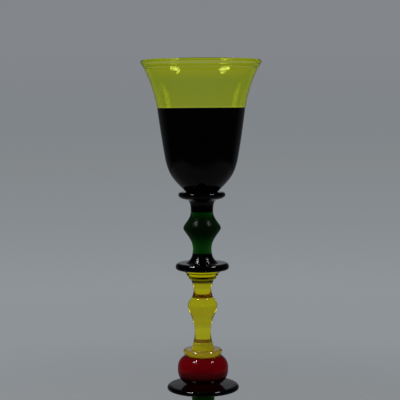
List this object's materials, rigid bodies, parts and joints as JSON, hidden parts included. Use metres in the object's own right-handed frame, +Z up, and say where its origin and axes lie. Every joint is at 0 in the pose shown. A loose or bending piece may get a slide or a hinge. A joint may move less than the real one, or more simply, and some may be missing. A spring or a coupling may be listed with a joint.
{
  "type": "water goblet",
  "caption": "Tall hot-worked glass water goblet: a flared dark bowl with a clear tinted rim, on a stem of knops, stacked rings, discs and a ball above a round foot.",
  "frame": {"origin": "middle of the foot's underside, on the table", "axes": "+Z up along the axis of the stem and bowl; the goblet is round, so +X and +Y are free, and -Y faces the picture's camera"},
  "size_m": [0.09, 0.09, 0.3],
  "materials": {
    "black_glass": "gloss",
    "green_glass": "gloss",
    "yellow_glass": "gloss",
    "ruby_glass": "gloss",
    "chartreuse_glass": "gloss"
  },
  "bodies": {
    "root": {"foot": "black_glass", "lower_stem": "green_glass", "lower_disc": "black_glass", "red_ball": "ruby_glass", "yellow_disc": "yellow_glass", "yellow_hub": "yellow_glass", "yellow_baluster": "yellow_glass", "yellow_neck": "yellow_glass", "ringed_collar": "yellow_glass", "middle_disc": "black_glass", "green_baluster": "green_glass", "bowl_collar": "black_glass", "bowl_cup": "black_glass", "rim_band": "chartreuse_glass"}
  },
  "joints": []
}
